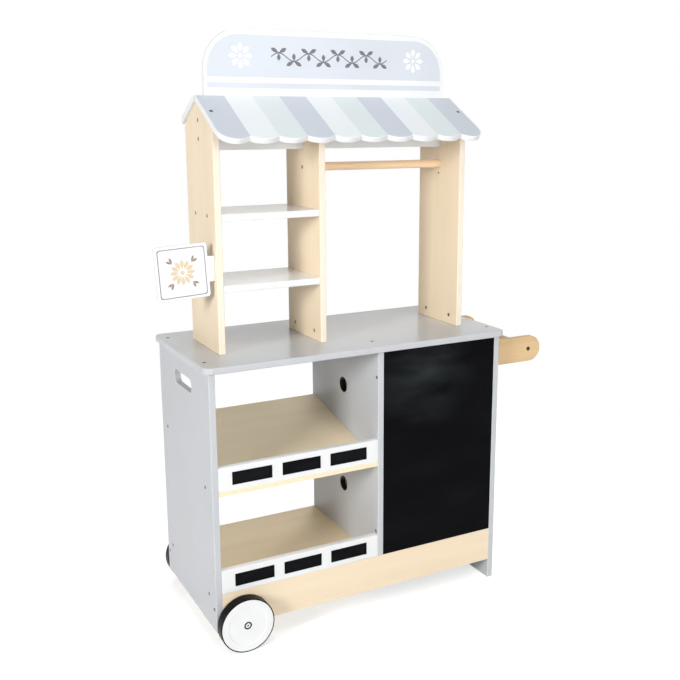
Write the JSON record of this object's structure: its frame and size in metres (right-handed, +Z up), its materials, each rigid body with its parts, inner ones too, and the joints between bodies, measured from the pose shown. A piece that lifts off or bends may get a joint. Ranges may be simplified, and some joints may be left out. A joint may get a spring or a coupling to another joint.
{
  "type": "toy market stall",
  "caption": "Toy market stall: a wheeled cabinet with display shelves and a chalkboard, carrying wooden uprights, goods shelves, a hanging rod, a scalloped roof, signs and a push handle.",
  "frame": {"origin": "middle of the whole stall's footprint, on the floor", "axes": "+Z up, +Y from the shop's front to its back, +X towards the push handle"},
  "size_m": [0.7822, 0.332, 1.085],
  "materials": {
    "grey_paint": "satin grey paint on fibreboard",
    "bare_wood": "clear varnish on pale plywood",
    "bright_wood": "clear varnish on pine",
    "white_paint": "satin white paint on fibreboard",
    "striped_paint": "printed stripes on white fibreboard",
    "chalkboard": "matt black chalk paint",
    "rubber": "matt black rubber",
    "steel": "zinc plated"
  },
  "bodies": {
    "stall": {"counter_top": "grey_paint", "left_panel": "grey_paint", "divider_panel": "grey_paint", "right_panel": "grey_paint", "blackboard": "chalkboard", "back_panel": "grey_paint", "front_apron": "bare_wood", "rear_apron": "bare_wood", "upper_display_shelf": "bare_wood", "lower_display_shelf": "bare_wood", "upper_shelf_lip": "white_paint", "lower_shelf_lip": "white_paint", "upper_chalk_labels": "chalkboard", "lower_chalk_labels": "chalkboard", "left_upright": "bare_wood", "middle_upright": "bare_wood", "right_upright": "bare_wood", "upper_goods_shelf": "white_paint", "lower_goods_shelf": "white_paint", "hanging_rod": "bright_wood", "sign_board": "white_paint", "front_roof": "striped_paint", "back_roof": "striped_paint", "side_sign": "white_paint", "front_handle_arm": "bright_wood", "rear_handle_arm": "bright_wood", "handle_bar": "bright_wood", "front_axle_bolt": "steel", "front_spacer": "steel", "rear_axle_bolt": "steel", "rear_spacer": "steel"},
    "front_wheel": {"front_tyre": "rubber", "front_wheel_disc": "white_paint"},
    "rear_wheel": {"rear_tyre": "rubber", "rear_wheel_disc": "white_paint"}
  },
  "joints": [
    {"name": "front_wheel_spin", "type": "hinge", "parent": "stall", "child": "front_wheel", "pos_m": [-0.28091, -0.156, 0.0505], "axis": [0, 1, 0], "continuous": true},
    {"name": "rear_wheel_spin", "type": "hinge", "parent": "stall", "child": "rear_wheel", "pos_m": [-0.28091, 0.156, 0.0505], "axis": [0, 1, 0], "continuous": true}
  ]
}
